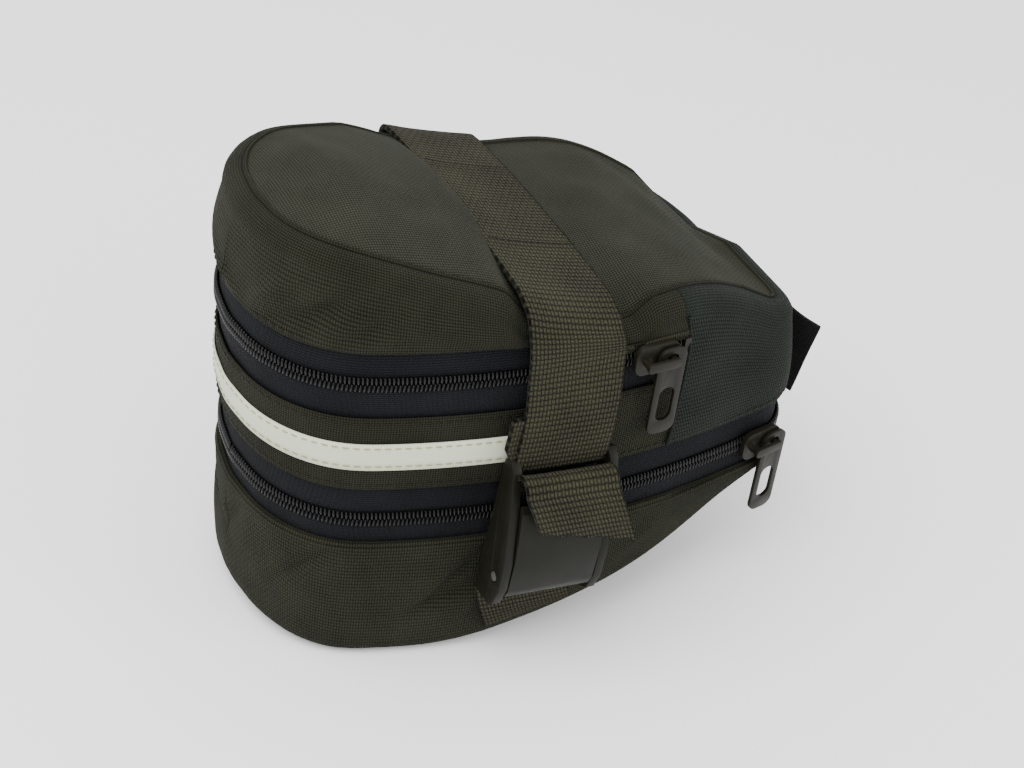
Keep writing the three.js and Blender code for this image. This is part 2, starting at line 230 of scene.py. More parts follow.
def ball(rings=5, sides=8):
    """A coarse unit ball: its points and faces."""
    verts = [(0, 0, -1)]
    for j in range(1, rings):
        a = math.pi * j / rings - math.pi / 2
        verts += [(math.cos(a) * math.cos(t), math.cos(a) * math.sin(t), math.sin(a))
                  for t in np.arange(sides) * 2 * math.pi / sides]
    verts.append((0, 0, 1))
    faces = [(0, 1 + (i + 1) % sides, 1 + i) for i in range(sides)]
    for j in range(rings - 2):
        for i in range(sides):
            a, b = 1 + j * sides + i, 1 + j * sides + (i + 1) % sides
            faces.append((a, b, b + sides, a + sides))
    last = len(verts) - 1
    faces += [(last, last - sides + i, last - sides + (i + 1) % sides) for i in range(sides)]
    return np.array(verts, float), faces


BALL = ball()


def beads(name, places, axes, size, material):
    """Many small rounded pieces in one mesh. axes is (n, 3, 3): each bead's own directions as rows."""
    verts, faces = BALL
    places, axes = np.asarray(places, float), np.asarray(axes, float)
    local = verts * np.asarray(size, float)
    out = (local[None] @ axes) + places[:, None]
    every = [tuple(np.array(f) + n * len(verts)) for n in range(len(places)) for f in faces]
    obj = mesh_object(name, out.reshape(-1, 3), every)
    obj.data.materials.append(material)
    return obj


def ids_between(xa, xb, side="both"):
    """Outline indices with x between two stations, as one unbroken run. For "rear", xa is not used."""
    x, y = ring[:, 0], ring[:, 1]
    if side == "rear":      # near side, round the rear, far side
        inside = np.where(x < xb)[0]
        near = inside[inside < COUNT // 2]
        far = inside[inside >= COUNT // 2]
        return np.r_[far, near]
    keep = (x > xa) & (x < xb)
    if side == "near":
        keep &= y < 0
    if side == "far":
        keep &= y > 0
    return np.where(keep)[0]


ALL = np.arange(COUNT)


def along_outline(ids, spacing, z, shift=0.0):
    """Evenly spaced places along a run of the outline: plan points, tangents and normals."""
    pts, nrm = ring[ids] + normal[ids] * lean(ids, z)[:, None], normal[ids]
    length = np.r_[0, np.cumsum(np.hypot(*np.diff(pts, axis=0).T))]
    at = np.arange(shift * spacing, length[-1], spacing)
    p, n = (np.c_[np.interp(at, length, a[:, 0]), np.interp(at, length, a[:, 1])] for a in (pts, nrm))
    n /= np.hypot(*n.T)[:, None]
    t = np.c_[-n[:, 1], n[:, 0]]
    return p, t, n


def frames(t, n, tilt=0.0):
    """Bead axes: along the line, outwards, up, turned in the wall's plane by tilt."""
    zero = np.zeros(len(t))
    along = np.c_[t, zero]
    out = np.c_[n, zero]
    up = np.tile([0.0, 0.0, 1.0], (len(t), 1))
    c, s = math.cos(tilt), math.sin(tilt)
    return np.stack([along * c + up * s, out, up * c - along * s], 1)


def stitch_row(name, ids, off, z, material, length=2.3 * MM, spacing=3.1 * MM, radius=0.28 * MM):
    p, t, n = along_outline(ids, spacing, z)
    height = np.full(len(p), z)
    places = np.c_[p + n * off, height]
    return beads(name, places, frames(t, n), (length / 2, radius * 0.8, radius), material)


def coil_row(name, ids, z, up, material, pitch=1.3 * MM):
    """One side of the zip chain: overlapping coil turns that reach a little past the middle line."""
    p, t, n = along_outline(ids, pitch, z, 0.5 if up > 0 else 0.0)
    places = np.c_[p + n * 0.35 * MM, np.full(len(p), z + up * 1.35 * MM)]
    return beads(name, places, frames(t, n, 0.1 * up), (0.52 * MM, 0.95 * MM, 1.6 * MM), material)


# ---------------------------------------------------------------- materials
class Shader:
    """A principled material with small helpers for procedural patterns."""

    def __init__(self, name, color, rough, metal=0.0, sheen=0.0, spec=0.5):
        self.mat = bpy.data.materials.new(name)
        self.mat.use_nodes = True
        self.tree = self.mat.node_tree
        self.bsdf = self.tree.nodes["Principled BSDF"]
        self.set("Base Color", (*color, 1))
        self.set("Roughness", rough)
        self.set("Metallic", metal)
        self.set("Specular IOR Level", spec)
        self.set("Sheen Weight", sheen)
        self.set("Sheen Roughness", 0.5)
        self.color = color

    def set(self, name, value):
        self.bsdf.inputs[name].default_value = value

    def node(self, kind, **props):
        n = self.tree.nodes.new(kind)
        for k, v in props.items():
            setattr(n, k, v)
        return n

    def wire(self, value, socket):
        if isinstance(value, (int, float)):
            socket.default_value = value
        else:
            self.tree.links.new(value, socket)

    def math(self, op, a, b=0.0):
        n = self.node("ShaderNodeMath", operation=op)
        self.wire(a, n.inputs[0])
        self.wire(b, n.inputs[1])
        return n.outputs[0]

    def uv(self):
        if not hasattr(self, "_uv"):
            coords = self.node("ShaderNodeTexCoord")
            split = self.node("ShaderNodeSeparateXYZ")
            self.tree.links.new(coords.outputs["UV"], split.inputs[0])
            self._uv = split.outputs[0], split.outputs[1], coords.outputs["UV"], coords.outputs["Object"]
        return self._uv

    def noise(self, scale, detail=3.0, use_uv=False):
        n = self.node("ShaderNodeTexNoise")
        n.inputs["Scale"].default_value = scale
        n.inputs["Detail"].default_value = detail
        self.tree.links.new(self.uv()[2 if use_uv else 3], n.inputs["Vector"])
        return n.outputs["Fac"]

    def weave(self, pitch_u, pitch_v, slant=0.0):
        """Plain weave height from 0 to 1: threads that pass over and under each other."""
        u, v = self.uv()[:2]
        if slant:
            u, v = self.math("ADD", u, self.math("MULTIPLY", v, slant)), v
        u, v = self.math("DIVIDE", u, pitch_u), self.math("DIVIDE", v, pitch_v)
        over = self.math("PINGPONG", self.math("ADD", self.math("FLOOR", u), self.math("FLOOR", v)), 1.0)
        warp = self.math("ABSOLUTE", self.math("SINE", self.math("MULTIPLY", u, math.pi)))
        weft = self.math("ABSOLUTE", self.math("SINE", self.math("MULTIPLY", v, math.pi)))
        a = self.math("MULTIPLY", self.math("POWER", warp, 0.6), self.math("SUBTRACT", 1.0, over))
        b = self.math("MULTIPLY", self.math("POWER", weft, 0.6), over)
        ends = self.math("MULTIPLY", self.math("POWER", warp, 0.5), self.math("POWER", weft, 0.5))
        level = self.math("ADD", 0.35, self.math("MULTIPLY", ends, 0.65))
        return self.math("MULTIPLY", self.math("ADD", a, b), level)

    def bump(self, height, depth):
        n = self.node("ShaderNodeBump")
        n.inputs["Strength"].default_value = 1.0
        n.inputs["Distance"].default_value = depth
        self.tree.links.new(height, n.inputs["Height"])
        self.tree.links.new(n.outputs[0], self.bsdf.inputs["Normal"])

    def tint(self, factor, low, high):
        """Multiplies the colour from low to high as factor goes from 0 to 1."""
        ramp = self.node("ShaderNodeMix", data_type="RGBA")
        ramp.inputs[6].default_value = tuple(c * low for c in self.color) + (1,)
        ramp.inputs[7].default_value = tuple(c * high for c in self.color) + (1,)
        self.tree.links.new(factor, ramp.inputs[0])
        self.tree.links.new(ramp.outputs[2], self.bsdf.inputs["Base Color"])


def cloth(name, color, pitch, depth, low, high, slant=0.0, aspect=1.0, rough=0.85):
    """A woven material: pitch of its threads, depth of its weave, and how dark and light its threads get: the weave's
    height is painted in as darkening between the threads and painted highlight on their crowns, over random tone.
    """
    s = Shader(name, color, rough, sheen=0.02, spec=0.05)
    height = s.weave(pitch, pitch * aspect, slant)
    patches = s.math("MULTIPLY", s.noise(60), 0.5)
    threads = s.math("MULTIPLY", s.noise(1500, 2.0, True), 0.35)
    # painted light: the weave's height gives painted shadow in the gaps between the threads and painted highlight on
    # their crowns; the noise patches and threads add random tone
    weave_light_and_tone = s.math("ADD", s.math("MULTIPLY", height, 0.75), s.math("SUBTRACT", s.math("ADD", patches, threads), 0.4))
    s.tint(weave_light_and_tone, low, high)
    s.bump(s.math("ADD", height, threads), depth)
    return s.mat


def solid(name, color, rough, metal=0.0, grain=0.0, spec=0.5):
    """A hard material or thread with slight wear; grain is the depth of its fine bumps."""
    s = Shader(name, color, rough, metal, spec=spec)
    wear = s.math("ADD", s.math("MULTIPLY", s.noise(120, 5.0), 0.35), rough - 0.17)
    s.tree.links.new(wear, s.bsdf.inputs["Roughness"])
    s.tint(s.noise(200), 0.8, 1.2)
    if grain:
        s.bump(s.noise(900), grain)
    return s.mat


BODY = cloth("body_weave", (0.0100, 0.0103, 0.0062), 0.85 * MM, 0.45 * MM, low=0.1, high=2.9)
# the top is the body's cloth painted lighter: painted light from the lamp above falling on it
TOP_PAINTED_LIGHT = cloth("top_weave_painted_light", (0.0150, 0.0157, 0.0105), 0.85 * MM, 0.4 * MM, low=0.25, high=2.7)
FRONT = cloth("front_weave", (0.0070, 0.0092, 0.0070), 1.0 * MM, 0.3 * MM, slant=0.5, low=0.15, high=2.6)
TAPE = cloth("zip_tape", (0.0042, 0.0044, 0.0054), 0.8 * MM, 0.3 * MM, slant=0.8, low=0.2, high=3.2)
WEB = cloth("webbing", (0.0140, 0.0135, 0.0080), 1.9 * MM, 0.9 * MM, aspect=0.68, low=0.04, high=3.8)
STRIPE = cloth("reflective_tape", (0.52, 0.55, 0.42), 0.5 * MM, 0.03 * MM, low=0.9, high=1.05, rough=0.45)
HOOK = cloth("hook_tape", (0.0038, 0.0038, 0.0036), 0.9 * MM, 0.5 * MM, low=0.4, high=2.4)
CREAM = solid("cream_thread", (0.27, 0.26, 0.13), 0.7)
DARK_THREAD = solid("dark_thread", (0.0105, 0.0100, 0.0062), 0.6, spec=0.1)
COIL = solid("coil_gloss", (0.003, 0.003, 0.003), 0.28, spec=0.22)
PLASTIC = solid("buckle_plastic", (0.0065, 0.0065, 0.0043), 0.42, grain=0.02 * MM, spec=0.1)
METAL = solid("slider_paint", (0.0085, 0.0080, 0.0050), 0.34, spec=0.12)
STEEL = solid("pin_steel", (0.25, 0.25, 0.23), 0.4, 1.0)


def finish_piece(obj, body=None, nodes=()):
    """Puts a piece on its body and hides the nodes that it replaces."""
    if body:
        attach(obj, body)
    if nodes:
        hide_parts(*nodes)
    return obj


# ---------------------------------------------------------------- lower shell
def corner(ids):
    """Radius of the turn from the wall into the bottom: larger round the rear."""
    return (4.5 + 5 * np.clip(-normal[ids, 0], 0, 1) ** 2) * MM


def lower_profile(ids):
    """The lower wall, from its turned top edge down and round into the bottom."""
    s, low, r = arc[ids], z_bottom(ring[ids, 0]), corner(ids)
    high = Z_LOW_TAPE + 0.6 * MM
    rows = [(0.1 * MM, high - 0.4 * MM), (1.0 * MM, high), (1.2 * MM, high - 1.2 * MM)]
    for t in np.linspace(0.06, 1, 24):
        z = high + (low + r - high) * t
        folds = ripple(s, z, 0.5 * MM, 1) + creases(s, z, 50, (0.006, 0.042), 2.6 * MM, 3)
        folds = folds * math.sin(math.pi * min(1, 0.1 + 0.9 * t))
        rows.append((1.2 * MM * (1 - t) + 0.5 * MM * math.sin(math.pi * t) + folds, z))
    for a in np.linspace(15, 90, 6):
        turn = math.radians(a)
        rows.append((-r * (1 - math.cos(turn)), low + r * (1 - math.sin(turn)) + 0.1 * MM))
    return rows


def inward_rows(ids, off, rim_z, table, lift, count=9, wave=None):
    """Rows from a rim in to the middle line, for the top and the bottom."""
    rim = ring[ids] + normal[ids] * off[:, None]
    ease = 45 * MM
    spine = np.where(rim[:, 0] < X_REAR + ease, X_REAR + ease - (X_REAR + ease - rim[:, 0]) * 0.25, rim[:, 0])
    spine = np.where(spine > X_FRONT - 30 * MM, X_FRONT - 30 * MM + (spine - X_FRONT + 30 * MM) * 0.3, spine)
    extra = rim_z[ids] - table(rim[:, 0])
    rows = []
    for t in np.linspace(0, 1, count):
        x = rim[:, 0] + (spine - rim[:, 0]) * t
        y = rim[:, 1] * (1 - t)
        z = table(x) + extra * (1 - t) ** 2 + lift(x) * (1 - (1 - t) ** 2)
        if wave:
            z = z + wave(x, y) * min(1, 3 * t)
        rows.append(np.c_[x, y, z])
    return rows


def plan_uv(rows):
    return rows[..., :2]


lower_cloth = wall("lower_cloth", ALL, lower_profile, BODY, closed=True)
finish_piece(lower_cloth, "lower_shell", ["lower_wall"])
Z_BASE = z_bottom(ring[:, 0]) + 0.1 * MM
bottom_rows = inward_rows(ALL, lean(ALL, Z_BASE) - corner(ALL), Z_BASE, z_bottom, lambda x: 0 * x)
bottom_cloth = grid("bottom_cloth", bottom_rows, True, BODY, uv=plan_uv, outwards=True)
finish_piece(bottom_cloth, "lower_shell", ["bottom_panel"])


def tape_profile(za, zb):
    """A zip tape, curving slightly outwards to the chain at za."""
    def rows(ids):
        return [(-0.9 * MM * t - 0.35 * MM + ripple(arc[ids], za, 0.12 * MM, 3), za + (np.asarray(zb) - za) * t)
                for t in np.linspace(0, 1, 5)]
    return rows


REAR_PART = ids_between(0, X_PANEL + 1 * MM, "rear")
for name, za, zb, body, node in (
    ("lower_tape_low", Z_LOW_ZIP - 0.2 * MM, Z_LOW_TAPE - 4 * MM, "lower_shell", "lower_zip_tape_low"),
    ("lower_tape_up", Z_LOW_ZIP + 0.2 * MM, Z_BAND[0] + 4 * MM, "middle", "lower_zip_tape_up"),
):
    finish_piece(wall(name, ALL, tape_profile(za, zb), TAPE, 0.7 * MM, True), body, [node])
finish_piece(coil_row("lower_coil_low", ALL, Z_LOW_ZIP, -1, COIL), "lower_shell", ["lower_zip_coil_low"])
finish_piece(coil_row("lower_coil_up", ALL, Z_LOW_ZIP, 1, COIL), "middle", ["lower_zip_coil_up"])

GUSSET_RISE = 24 * MM
gusset_rows = [(-3.2 * MM + 0.5 * MM * math.sin(9 * t), Z_LOW_TAPE + GUSSET_RISE * t) for t in np.linspace(0, 1, 9)]
gusset = wall("gusset_cloth", ALL, lambda ids: gusset_rows, BODY, 0.6 * MM, True)
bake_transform(gusset)
finish_piece(gusset, None, ["expansion_gusset"])


# ---------------------------------------------------------------- middle section
def band_profile(za, zb, bulge, seed):
    """Cloth between two zips, turned under along both edges."""
    def rows(ids):
        s = arc[ids]
        out = [(0.1 * MM, za + 0.5 * MM), (0.9 * MM, za), (1.1 * MM, za + 1 * MM)]
        for t in np.linspace(0.1, 0.9, 9):
            z = za + (zb - za) * t
            swell = math.sin(math.pi * t)
            out.append((1.1 * MM + bulge * swell + ripple(s, z, 0.3 * MM, seed) * swell, z))
        return out + [(1.1 * MM, zb - 1 * MM), (0.9 * MM, zb), (0.1 * MM, zb - 0.5 * MM)]
    return rows


band = wall("middle_cloth", REAR_PART, band_profile(Z_BAND[0], Z_BAND[1], 0.3 * MM, 7), BODY)
finish_piece(band, "middle", ["middle_band"])
STRIPE_PART = ids_between(0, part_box("reflective_strip")[1].x, "rear")
stripe = wall("stripe", STRIPE_PART, lambda ids: [(1.9 * MM, z) for z in np.linspace(Z_STRIPE[0], Z_STRIPE[1], 4)],
              STRIPE, 0.4 * MM)
finish_piece(stripe, "middle", ["reflective_strip"])
for name, z, node in (
    ("stripe_stitch_low", Z_STRIPE[0] + 1.5 * MM, "strip_thread_lower"),
    ("stripe_stitch_up", Z_STRIPE[1] - 1.5 * MM, "strip_thread_upper"),
):
    finish_piece(stitch_row(name, STRIPE_PART, 2.0 * MM, z, CREAM), "middle", [node])

finish_piece(wall("upper_tape_low", REAR_PART, tape_profile(Z_HIGH_ZIP - 0.2 * MM, Z_BAND[1] - 4 * MM), TAPE, 0.7 * MM),
             "middle", ["upper_zip_tape_low"])
finish_piece(coil_row("upper_coil_low", REAR_PART, Z_HIGH_ZIP, -1, COIL), "middle", ["upper_zip_coil_low"])


SEAM_REAR = 6.5 * MM


def seam_in(x):
    """Distance from the outline in to the top seam; the top narrows towards the front."""
    return np.interp(x, [X_REAR, STRAP[1], X_FRONT - 24 * MM, X_FRONT],
                     [SEAM_REAR, SEAM_REAR, 13 * MM, 9 * MM])


def pinch(x, y):
    """1 where the near end of the strap pulls the seam down, 0 away from it."""
    along = np.clip(np.minimum(x - STRAP[0] + 6 * MM, STRAP[1] + 15 * MM - x) / (10 * MM), 0, 1)
    return along ** 2 * (3 - 2 * along) * (y < 0)


SEAM = ring - normal * seam_in(ring[:, 0])[:, None]
Z_SEAM = z_top(SEAM[:, 0]) - 5 * MM * pinch(SEAM[:, 0], SEAM[:, 1])
# the far half of the rim stands a little off the frame's own, and drops at the front
FAR_RIM = np.interp(SEAM[:, 0] - X_REAR, np.array([20, 36, 52, 66, 106, 118, 130, 160, 172, 179, 187]) * MM,
                    np.array([-1, 0.5, 2, 0, 0, 0.6, 0.6, 0, -6, -9, -9]) * MM)
Z_SEAM += FAR_RIM * np.clip(SEAM[:, 1] / (25 * MM), 0, 1)


def drape(x, z):
    """Slanting folds that run from the near strap into the side."""
    fade = np.exp(-((x - STRAP[0]) / (34 * MM)) ** 2)
    return fade * np.sin((z - 0.118) * 420 + (x - STRAP[0]) * 150)


def rim_rows(ids, low, seed, bulge):
    """Cloth that rises from a low edge, swells and turns in to the top seam."""
    x, s, seam = ring[ids, 0], arc[ids], seam_in(ring[ids, 0])
    high = np.maximum(Z_SEAM[ids] - 6 * MM, low + 1.5 * MM)
    crown = Z_SEAM[ids] - high
    slope = (seam - SEAM_REAR) * 0.6
    pull = pinch(x, ring[ids, 1])
    rows = [(0.1 * MM, low + 0.5 * MM), (1.0 * MM, low), (1.3 * MM, low + 1 * MM)]
    for t in np.linspace(0.06, 1, 20):
        z = low + (high - low) * t
        body = math.sin(math.pi * min(1, t + 0.1))
        folds = ripple(s, z, 0.7 * MM, seed) + drape(x, z) * 1.1 * MM
        folds = folds + creases(s, z, 44, (0.122, 0.15), 2.0 * MM, seed)
        rows.append((1.3 * MM * (1 - t) + bulge * body - slope * t * t + folds * body - pull * 1.2 * MM * body, z))
    for a in np.linspace(18, 90, 5):
        r = math.radians(a)
        rows.append((-slope - (seam - slope) * (1 - math.cos(r)), high + crown * math.sin(r)))
    return rows


def hinged(obj, nodes):
    """A piece that runs from the middle section into the opening lid: its transform is baked in, it goes on no body,
    and the nodes it replaces are hidden.
    """
    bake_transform(obj)
    return finish_piece(obj, None, nodes)


LID_FOOT = np.interp(ring[:, 0], [STRAP[0], STRAP[1] + 2 * MM], [Z_HIGH_TAPE, Z_HIGH_ZIP + 4 * MM])
hinged(wall("lid_wall_cloth", REAR_PART, lambda ids: rim_rows(ids, LID_FOOT[ids], 11, 1.2 * MM), BODY),
       ["lid_wall_rear", "lid_wall_near", "lid_wall_far"])
hinged(wall("upper_tape_top", REAR_PART,
            lambda ids: tape_profile(Z_HIGH_ZIP + 0.2 * MM, LID_FOOT[ids] + 1 * MM)(ids), TAPE, 0.7 * MM),
       ["upper_zip_tape_top", "upper_zip_tape_top_near", "upper_zip_tape_top_far"])
hinged(coil_row("upper_coil_top", REAR_PART, Z_HIGH_ZIP, 1, COIL),
       ["upper_zip_coil_top", "upper_zip_coil_top_near", "upper_zip_coil_top_far"])
FRONT_PART = ids_between(X_PANEL, 1)
finish_piece(wall("front_cloth", FRONT_PART, lambda ids: rim_rows(ids, Z_BAND[0], 13, 0.6 * MM), FRONT),
             "middle", ["front_panel"])


def dome(x):
    """How far the middle of the top stands above its rim: crowned at the rear, flatter ahead of the
    strap, and sunk at the front."""
    return np.interp(x - X_REAR, np.array([0, 30, 68, 77, 105, 114, 128, 140, 155, 172, 187]) * MM,
                     np.array([0.3, 9, 8.5, 3.2, 3, 4, 4, 2, 0, -3, -3]) * MM)


def top_wave(x, y):
    """Shallow folds: a few cross the top ahead of the strap, most of them on its far half."""
    ahead = np.clip((x - STRAP[1] + 4 * MM) / (20 * MM), 0, 1)
    far = 0.4 + 0.6 * np.clip(y / 0.03 + 0.3, 0, 1)
    return ripple(x, y, 0.35 * MM, 5) + ahead * far * 0.9 * MM * np.sin(x * 230 + y * 90 + 1.2 * np.sin(y * 70))


top_rows = inward_rows(ALL, -seam_in(ring[:, 0]), Z_SEAM, z_top, dome, 17, top_wave)
top = grid("top_cloth", top_rows, True, TOP_PAINTED_LIGHT, 1.2 * MM, plan_uv)
hinged(top, ["top_panel_rear", "top_panel_front"])


# the turned seam along the rim: a thin round ridge
RIDGE = 0.75 * MM
ridge_rows = [np.c_[SEAM + normal * (RIDGE * math.cos(a) - 0.2 * MM), Z_SEAM + 0.05 * MM + RIDGE * math.sin(a)]
              for a in np.linspace(0, 2 * math.pi, 9)]
hinged(grid("top_seam", ridge_rows, True, BODY), ["top_binding_rear", "top_binding_front"])

# sewing along the cloth edges
for name, ids, off, z, body in (
    ("stitch_lower_wall", ALL, 1.1 * MM, Z_LOW_TAPE - 1.6 * MM, "lower_shell"),
    ("stitch_band_low", REAR_PART, 1.25 * MM, Z_BAND[0] + 2 * MM, "middle"),
    ("stitch_band_up", REAR_PART, 1.25 * MM, Z_BAND[1] - 2 * MM, "middle"),
    ("stitch_front_low", FRONT_PART, 1.5 * MM, Z_BAND[0] + 2 * MM, "middle"),
):
    finish_piece(stitch_row(name, ids, off, z, DARK_THREAD), body)
hinged(stitch_row("stitch_lid", ids_between(0, STRAP[0], "rear"), 1.6 * MM, Z_HIGH_TAPE + 2 * MM, DARK_THREAD),
       [])


def side_seam(side):
    """The turned edge of the front panel, from its foot up to the top seam."""
    ids = ids_between(X_PANEL - 8 * MM, X_PANEL + 12 * MM, side)
    order = ids[np.argsort(ring[ids, 0])]
    rows = []
    for t in np.linspace(0, 1, 40):
        z = Z_BAND[0] + 1 * MM + (np.interp(X_PANEL, ring[order, 0], Z_SEAM[order]) - 7 * MM - Z_BAND[0]) * t
        x = X_PANEL + (1.5 * math.sin(2.6 * t) + 3.5 * max(0, t - 0.75)) * MM
        y = np.interp(x, ring[order, 0], ring[order, 1])
        out = -1 if side == "near" else 1
        y += out * (2.1 - 3.6 * max(0, t - 0.8) / 0.2) * MM
        rows.append([(x + 0.55 * MM * math.cos(a), y + out * 0.55 * MM * math.sin(a), z)
                     for a in np.linspace(0, 2 * math.pi, 9)])
    return grid("front_seam_" + side, rows, False, FRONT)


for side in ("near", "far"):
    finish_piece(side_seam(side), "middle")


# ---------------------------------------------------------------- webbing
def smooth_path(points, rounds, spacing=1.2 * MM):
    """Evenly spaced points on an open line, with its corners rounded off."""
    pts = np.array(points, float)
    length = np.r_[0, np.cumsum(np.hypot(*np.diff(pts, axis=0).T))]
    at = np.linspace(0, length[-1], max(4, int(length[-1] / spacing)))
    out = np.c_[np.interp(at, length, pts[:, 0]), np.interp(at, length, pts[:, 1])]
    for _ in range(rounds):
        out[1:-1] = 0.5 * out[1:-1] + 0.25 * (out[:-2] + out[2:])
    return out


WEB_COLUMNS = 17


def webbing(name, path, shift=None, height=None, thick=1.6 * MM, rounds=3, trim=None):
    """A strap: a YZ path carried across the strap width, with soft rolled edges. trim(w) is how much of the path's
    last part is cut away at width w, in metres, for an end that isn't square."""
    line = smooth_path(path, rounds)
    run = np.r_[0, np.cumsum(np.hypot(*np.diff(line, axis=0).T))]
    rows, uvs = [], []
    for w in np.linspace(0, 1, WEB_COLUMNS):
        at = np.linspace(0, run[-1] - (trim(w) if trim else 0), len(line))
        here = np.c_[np.interp(at, run, line[:, 0]), np.interp(at, run, line[:, 1])]
        step = np.gradient(here, axis=0)
        step /= np.hypot(*step.T)[:, None]
        out = np.c_[-step[:, 1], step[:, 0]]
        y, z = (here - out * 0.35 * MM * (abs(2 * w - 1) ** 6)).T
        xs = STRAP[0] + (STRAP[1] - STRAP[0]) * w + (shift(y, z) if shift else np.zeros(len(y)))
        rows.append(np.c_[xs, y, z + (height(xs, y, z) if height else 0)])
        uvs.append(np.c_[at, np.full(len(at), w * (STRAP[1] - STRAP[0]))])
    obj = grid(name, askew(rows), False, WEB, thick, uv=lambda r: np.array(uvs))
    obj.modifiers["cloth"].offset = 1
    return obj


HANG_X, HANG_Z, HANG_ANGLE = sum(STRAP) / 2, 0.092 + LIFT, math.radians(5.5)


def askew(rows):
    """On the near side the strap hangs askew, as the buckle does in the frame."""
    p = np.asarray(rows, float)
    x, z = p[..., 0] - HANG_X, p[..., 2] - HANG_Z
    share = np.clip(np.minimum((0.030 - z) / 0.030, (p[..., 2] - LIFT - 0.004) / 0.018), 0, 1)
    a = HANG_ANGLE * share * (p[..., 1] < -0.050)
    return np.stack([x * np.cos(a) + z * np.sin(a) + HANG_X, p[..., 1], z * np.cos(a) - x * np.sin(a) + HANG_Z], -1)


def over_height(x, y, z):
    """On top, the strap lies on the cloth and follows its slope."""
    blend_in = np.clip((z - LIFT - 0.112) / 0.014, 0, 1)
    return (z_top(x) - 0.130 - LIFT) * blend_in


def raise_path(points):
    return [(y, z + LIFT) for y, z in points]


def crown_height(y):
    """The strap's middle line over the top of the bag."""
    return 0.1318 + 2.4 * MM * (1 - (y / 0.055) ** 2)


BAR_FLAT = BAR_Z - LIFT
crown = [(y, crown_height(y)) for y in np.linspace(-0.046, 0.046, 9)]
loop = [(BAR_Y + 1.6 * MM * math.cos(a), BAR_FLAT + 1.6 * MM * math.sin(a)) for a in np.linspace(0, -math.pi, 7)]
near_drop = [(BAR_Y - 1.6 * MM, 0.086), (BAR_Y - 0.9 * MM, 0.095), (-0.0585, 0.106), (-0.0583, 0.114),
             (-0.0574, 0.1215), (-0.0540, 0.1285)]
far_drop = [(0.0540, 0.1312), (0.0572, 0.127), (0.0572, 0.115), (0.0572, 0.06)]
top_path = raise_path([*loop[3:], *near_drop, *crown, *far_drop])
top_strap = webbing("top_strap_web", top_path, height=over_height)
finish_piece(top_strap, "middle", ["top_strap"])
fold = webbing("strap_fold_web", raise_path([(-0.0583, 0.0925), *loop[:4]]),
               lambda y, z: -4 * MM * np.clip((z - BAR_Z - 1 * MM) / (7 * MM), 0, 1), rounds=1)
finish_piece(fold, "middle")


def under(x, y, z):
    """Below, the strap follows the slope of the bottom."""
    low = 0.012 + LIFT
    return np.where(z < low, z_bottom(x) * np.clip((low - z) / low, 0, 1), 0)


bottom_path = [(0.0566, 0.076), (0.0568, 0.060), (0.0584, 0.048), (0.0590, 0.036), (0.0586, 0.022),
               (0.0572, 0.010), (0.053, 0.0014), (0.046, -0.0002), (-0.046, -0.0002), (-0.052, 0.0014),
               (-0.0562, 0.008), (-0.0572, 0.026), (-0.0595, 0.033), (-0.0595, 0.064)]
bottom_strap = webbing("bottom_strap_web", bottom_path, height=under, thick=1.4 * MM)
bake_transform(bottom_strap)
finish_piece(bottom_strap, None, ["bottom_strap"])

TAIL = raise_path([(-0.0618, 0.0605), (-0.0622, 0.066), (-0.0632, 0.0705), (-0.0645, 0.0735), (-0.0668, 0.0742),
                   (-0.0695, 0.0722), (-0.0717, 0.067), (-0.0727, 0.060), (-0.0727, 0.049)])


def tail_shift(y, z):
    """The free end drifts forwards as it hangs."""
    return np.clip(0.074 - z, 0, 0.03) * 0.5 * (y < -0.066)


tail = webbing("tail_web", TAIL, tail_shift, thick=1.4 * MM,
               trim=lambda w: (9.0 * (1 - w) ** 0.8 + 0.5 * math.sin(23 * w) + 0.35 * math.sin(61 * w)) * MM)
finish_piece(tail, "lever", ["strap_tail"])


def cut_fibres():
    """Loose thread ends along the cut of the strap's free end."""
    rng = np.random.default_rng(31)
    co = np.array([v.co for v in tail.data.vertices]).reshape(WEB_COLUMNS, -1, 3)[:, -1]
    places, axes = [], []
    for _ in range(90):
        w = rng.uniform(0, WEB_COLUMNS - 1)
        i = int(min(WEB_COLUMNS - 2, w))
        at = co[i] + (co[i + 1] - co[i]) * (w - i)
        a = rng.uniform(-0.7, 0.7)
        down = np.array([math.sin(a), rng.uniform(-0.3, 0.3), -math.cos(a)])
        down /= np.linalg.norm(down)
        side_way = np.cross(down, [0, 1, 0])
        side_way /= np.linalg.norm(side_way)
        places.append(at + down * 0.5 * MM + [0, -rng.uniform(0, 1.2) * MM, 0])
        axes.append([down, side_way, np.cross(down, side_way)])
    return beads("tail_fibres", places, axes, (1.0 * MM, 0.14 * MM, 0.14 * MM), DARK_THREAD)


finish_piece(cut_fibres(), "lever")


def across_strap(name, y, count=15):
    """A row of stitches across the strap on top of the bag."""
    xs = np.linspace(STRAP[0] + 2 * MM, STRAP[1] - 2 * MM, count)
    z = crown_height(y) + z_top(xs) - 0.130 + 1.62 * MM
    slope = np.gradient(z, xs)
    t = np.c_[np.ones(count), np.zeros(count), slope]
    t /= np.linalg.norm(t, axis=1)[:, None]
    n = np.tile([0.0, 1.0, 0.0], (count, 1))
    axes = np.stack([t, n, np.cross(t, n)], 1)
    return beads(name, np.c_[xs, np.full(count, y), z], axes, (1.2 * MM, 0.3 * MM, 0.22 * MM), DARK_THREAD)


finish_piece(across_strap("strap_sewing_a", -0.022), "middle", ["strap_stitch_lines"])
finish_piece(across_strap("strap_sewing_b", 0.024), "middle")


# ---------------------------------------------------------------- seat-post strap
FAR_FLAP_TRIM = 8 * MM      # the far flap is cut this much lower than its node


